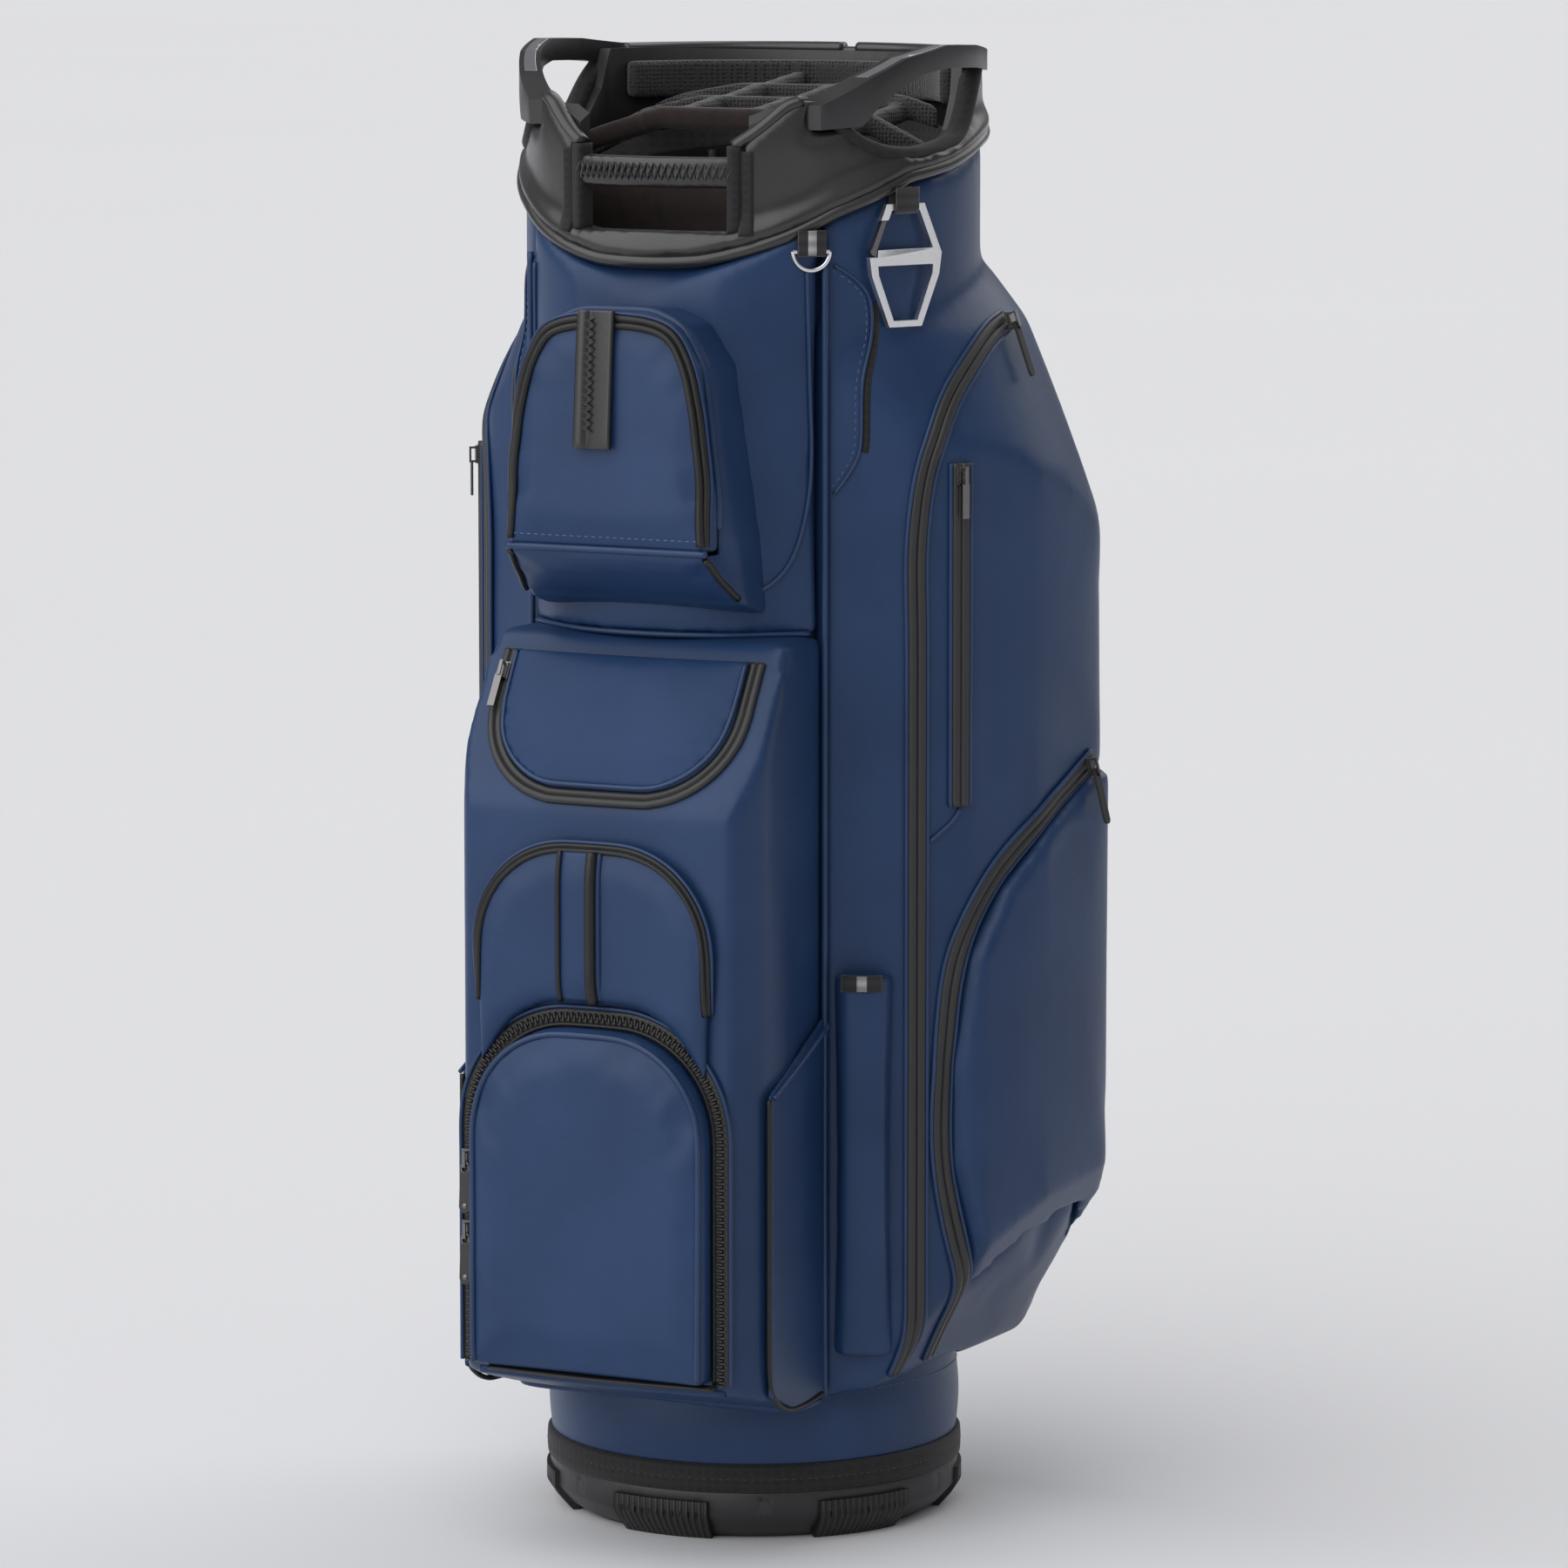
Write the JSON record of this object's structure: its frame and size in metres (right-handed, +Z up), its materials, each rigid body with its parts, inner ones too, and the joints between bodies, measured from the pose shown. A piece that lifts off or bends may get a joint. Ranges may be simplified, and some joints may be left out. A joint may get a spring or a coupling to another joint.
{
  "type": "golf cart bag",
  "caption": "Upright golf bag with a divided club tube, padded cuff with hand grips, zipped pockets, opening ball door, D-ring and towel clip.",
  "frame": {"origin": "centre of the foot's underside, on the ground", "axes": "+Z up along the club tube; the front, with the ball pocket, faces -Y; +X is the bag's side on the right when seen from the front"},
  "size_m": [0.4358, 0.3725, 0.936],
  "materials": {
    "moulded_foot": "moulded black plastic, fine texture",
    "pad_rubber": "ribbed black rubber",
    "binding_fabric": "black grosgrain binding",
    "tube_sheet": "stiff black sheet",
    "blue_leather": "navy synthetic leather, fine grain, satin",
    "piping": "navy piping",
    "stay_rod": "tube stays",
    "slot_fabric": "dark brown velour",
    "bar_mesh": "padded black mesh",
    "frame_plastic": "moulded black",
    "cuff_leather": "black satin synthetic leather",
    "grip_leather": "black padded leather, cross stitched",
    "edge_binding": "black edge binding",
    "handle_plastic": "moulded black, satin",
    "polished_inlay": "polished",
    "screw_steel": "dark steel",
    "zip_tape": "coated zip tape",
    "heavy_zip": "black tape with moulded teeth",
    "pocket_lining": "woven lining",
    "webbing": "black webbing with a grey stripe",
    "tab_leather": "black stitched leather",
    "ring_chrome": "bright chrome",
    "clip_aluminium": "satin aluminium",
    "gate_steel": "bright steel",
    "zip_metal": "bright nickel",
    "pull_leather": "black leather pull",
    "pull_rubber": "black moulded pull"
  },
  "bodies": {
    "bag": {"base_shell": "moulded_foot", "foot_pads": "pad_rubber", "binding_band": "binding_fabric", "tube_shell": "tube_sheet", "tube_cover": "blue_leather", "back_panel": "blue_leather", "front_panel": "blue_leather", "front_column": "blue_leather", "side_pocket_left": "blue_leather", "side_pocket_right": "blue_leather", "lower_pocket_left": "blue_leather", "lower_pocket_right": "blue_leather", "slip_pockets": "blue_leather", "side_sleeves": "blue_leather", "arch_pocket": "blue_leather", "centre_strap": "blue_leather", "finder_pocket": "blue_leather", "column_piping": "piping", "stay_rods": "stay_rod", "slot_sheets": "slot_fabric", "divider_bars": "bar_mesh", "rear_rim": "bar_mesh", "top_frame": "frame_plastic", "cuff": "cuff_leather", "front_handle": "grip_leather", "handle_wraps": "edge_binding", "side_handle_left": "handle_plastic", "side_handle_right": "handle_plastic", "handle_inlays": "polished_inlay", "fasteners": "screw_steel", "side_zips": "zip_tape", "quick_zip": "zip_tape", "ball_zip": "heavy_zip", "pocket_shelves": "pocket_lining", "ring_webbing": "webbing", "clip_webbing": "webbing", "sleeve_webbing": "webbing"},
    "finder_lid": {"finder_lid": "blue_leather", "finder_tab": "tab_leather"},
    "ball_door": {"ball_door": "blue_leather"},
    "quick_flap": {"quick_flap": "blue_leather"},
    "ball_slider_upper": {"ball_slider_upper": "zip_metal"},
    "ball_pull_upper": {"ball_pull_upper": "pull_leather"},
    "ball_slider_lower": {"ball_slider_lower": "zip_metal"},
    "ball_pull_lower": {"ball_pull_lower": "pull_leather"},
    "quick_slider": {"quick_slider": "zip_metal"},
    "apparel_slider_right": {"apparel_slider_right": "zip_metal"},
    "apparel_pull_right": {"apparel_pull_right": "pull_rubber"},
    "apparel_slider_left": {"apparel_slider_left": "zip_metal"},
    "apparel_pull_left": {"apparel_pull_left": "pull_rubber"},
    "upright_slider_right": {"upright_slider_right": "zip_metal"},
    "upright_slider_left": {"upright_slider_left": "zip_metal"},
    "lower_slider_right": {"lower_slider_right": "zip_metal"},
    "lower_pull_right": {"lower_pull_right": "pull_rubber"},
    "lower_slider_left": {"lower_slider_left": "zip_metal"},
    "lower_pull_left": {"lower_pull_left": "pull_rubber"},
    "d_ring": {"d_ring": "ring_chrome"},
    "towel_clip": {"towel_clip": "clip_aluminium"},
    "clip_gate": {"clip_gate": "gate_steel"}
  },
  "joints": [
    {"name": "ball_door_hinge", "type": "hinge", "parent": "bag", "child": "ball_door", "pos_m": [0, -0.2126, 0.122], "axis": [1, 0, 0], "range_deg": [0, 90]},
    {"name": "rangefinder_lid_hinge", "type": "hinge", "parent": "bag", "child": "finder_lid", "pos_m": [0, -0.199, 0.632], "axis": [1, 0, 0], "range_deg": [0, 60]},
    {"name": "quick_flap_hinge", "type": "hinge", "parent": "bag", "child": "quick_flap", "pos_m": [0, -0.16042, 0.562], "axis": [-1, 0, 0], "range_deg": [0, 55]},
    {"name": "ball_zip_upper_slide", "type": "slide", "parent": "bag", "child": "ball_slider_upper", "axis": [0, 0, 1], "range_m": [-0.003, 0.016]},
    {"name": "ball_pull_upper_swing", "type": "hinge", "parent": "ball_slider_upper", "child": "ball_pull_upper", "pos_m": [-0.0876, -0.2215, 0.2477], "axis": [-1, 0, 0], "range_deg": [0, 120]},
    {"name": "ball_zip_lower_slide", "type": "slide", "parent": "bag", "child": "ball_slider_lower", "axis": [0, 0, 1], "range_m": [-0.075, 0]},
    {"name": "ball_pull_lower_swing", "type": "hinge", "parent": "ball_slider_lower", "child": "ball_pull_lower", "pos_m": [-0.0876, -0.2215, 0.2027], "axis": [-1, 0, 0], "range_deg": [0, 120]},
    {"name": "quick_zip_slide", "type": "slide", "parent": "bag", "child": "quick_slider", "axis": [0, -0.5107, -0.8597], "range_m": [-0.01, 0.014]},
    {"name": "apparel_zip_right_slide", "type": "slide", "parent": "bag", "child": "apparel_slider_right", "axis": [0.036, -0.9811, -0.1902], "range_m": [0, 0.024]},
    {"name": "apparel_pull_right_swing", "type": "hinge", "parent": "apparel_slider_right", "child": "apparel_pull_right", "pos_m": [0.16725, 0.034, 0.76166], "axis": [0, -1, 0], "range_deg": [0, 120]},
    {"name": "upright_zip_right_slide", "type": "slide", "parent": "bag", "child": "upright_slider_right", "axis": [0, 0, -1], "range_m": [0, 0.19]},
    {"name": "lower_zip_right_slide", "type": "slide", "parent": "bag", "child": "lower_slider_right", "axis": [-0.094, -0.8905, -0.4452], "range_m": [0, 0.045]},
    {"name": "lower_pull_right_swing", "type": "hinge", "parent": "lower_slider_right", "child": "lower_pull_right", "pos_m": [0.20794, 0.06859, 0.47779], "axis": [-0.0931, -0.9957, 0], "range_deg": [0, 120]},
    {"name": "apparel_zip_left_slide", "type": "slide", "parent": "bag", "child": "apparel_slider_left", "axis": [-0.036, -0.9811, -0.1902], "range_m": [0, 0.024]},
    {"name": "apparel_pull_left_swing", "type": "hinge", "parent": "apparel_slider_left", "child": "apparel_pull_left", "pos_m": [-0.16725, 0.034, 0.76166], "axis": [0, 1, 0], "range_deg": [0, 120]},
    {"name": "upright_zip_left_slide", "type": "slide", "parent": "bag", "child": "upright_slider_left", "axis": [0, 0, -1], "range_m": [0, 0.19]},
    {"name": "lower_zip_left_slide", "type": "slide", "parent": "bag", "child": "lower_slider_left", "axis": [0.094, -0.8905, -0.4452], "range_m": [0, 0.045]},
    {"name": "lower_pull_left_swing", "type": "hinge", "parent": "lower_slider_left", "child": "lower_pull_left", "pos_m": [-0.20794, 0.06859, 0.47779], "axis": [-0.0931, 0.9957, 0], "range_deg": [0, 120]},
    {"name": "d_ring_swing", "type": "hinge", "parent": "bag", "child": "d_ring", "pos_m": [0.09756, -0.11223, 0.812], "axis": [-0.7547, -0.6561, 0], "range_deg": [0, 100]},
    {"name": "towel_clip_swing", "type": "hinge", "parent": "bag", "child": "towel_clip", "pos_m": [0.1353, -0.06024, 0.838], "axis": [-0.4067, -0.9135, 0], "range_deg": [0, 90]},
    {"name": "clip_gate_hinge", "type": "hinge", "parent": "towel_clip", "child": "clip_gate", "pos_m": [0.12509, -0.08317, 0.811], "axis": [-0.9135, 0.4067, 0], "range_deg": [0, 17], "stiffness_Nm_per_rad": 0.02, "springref_deg": -8.59}
  ]
}
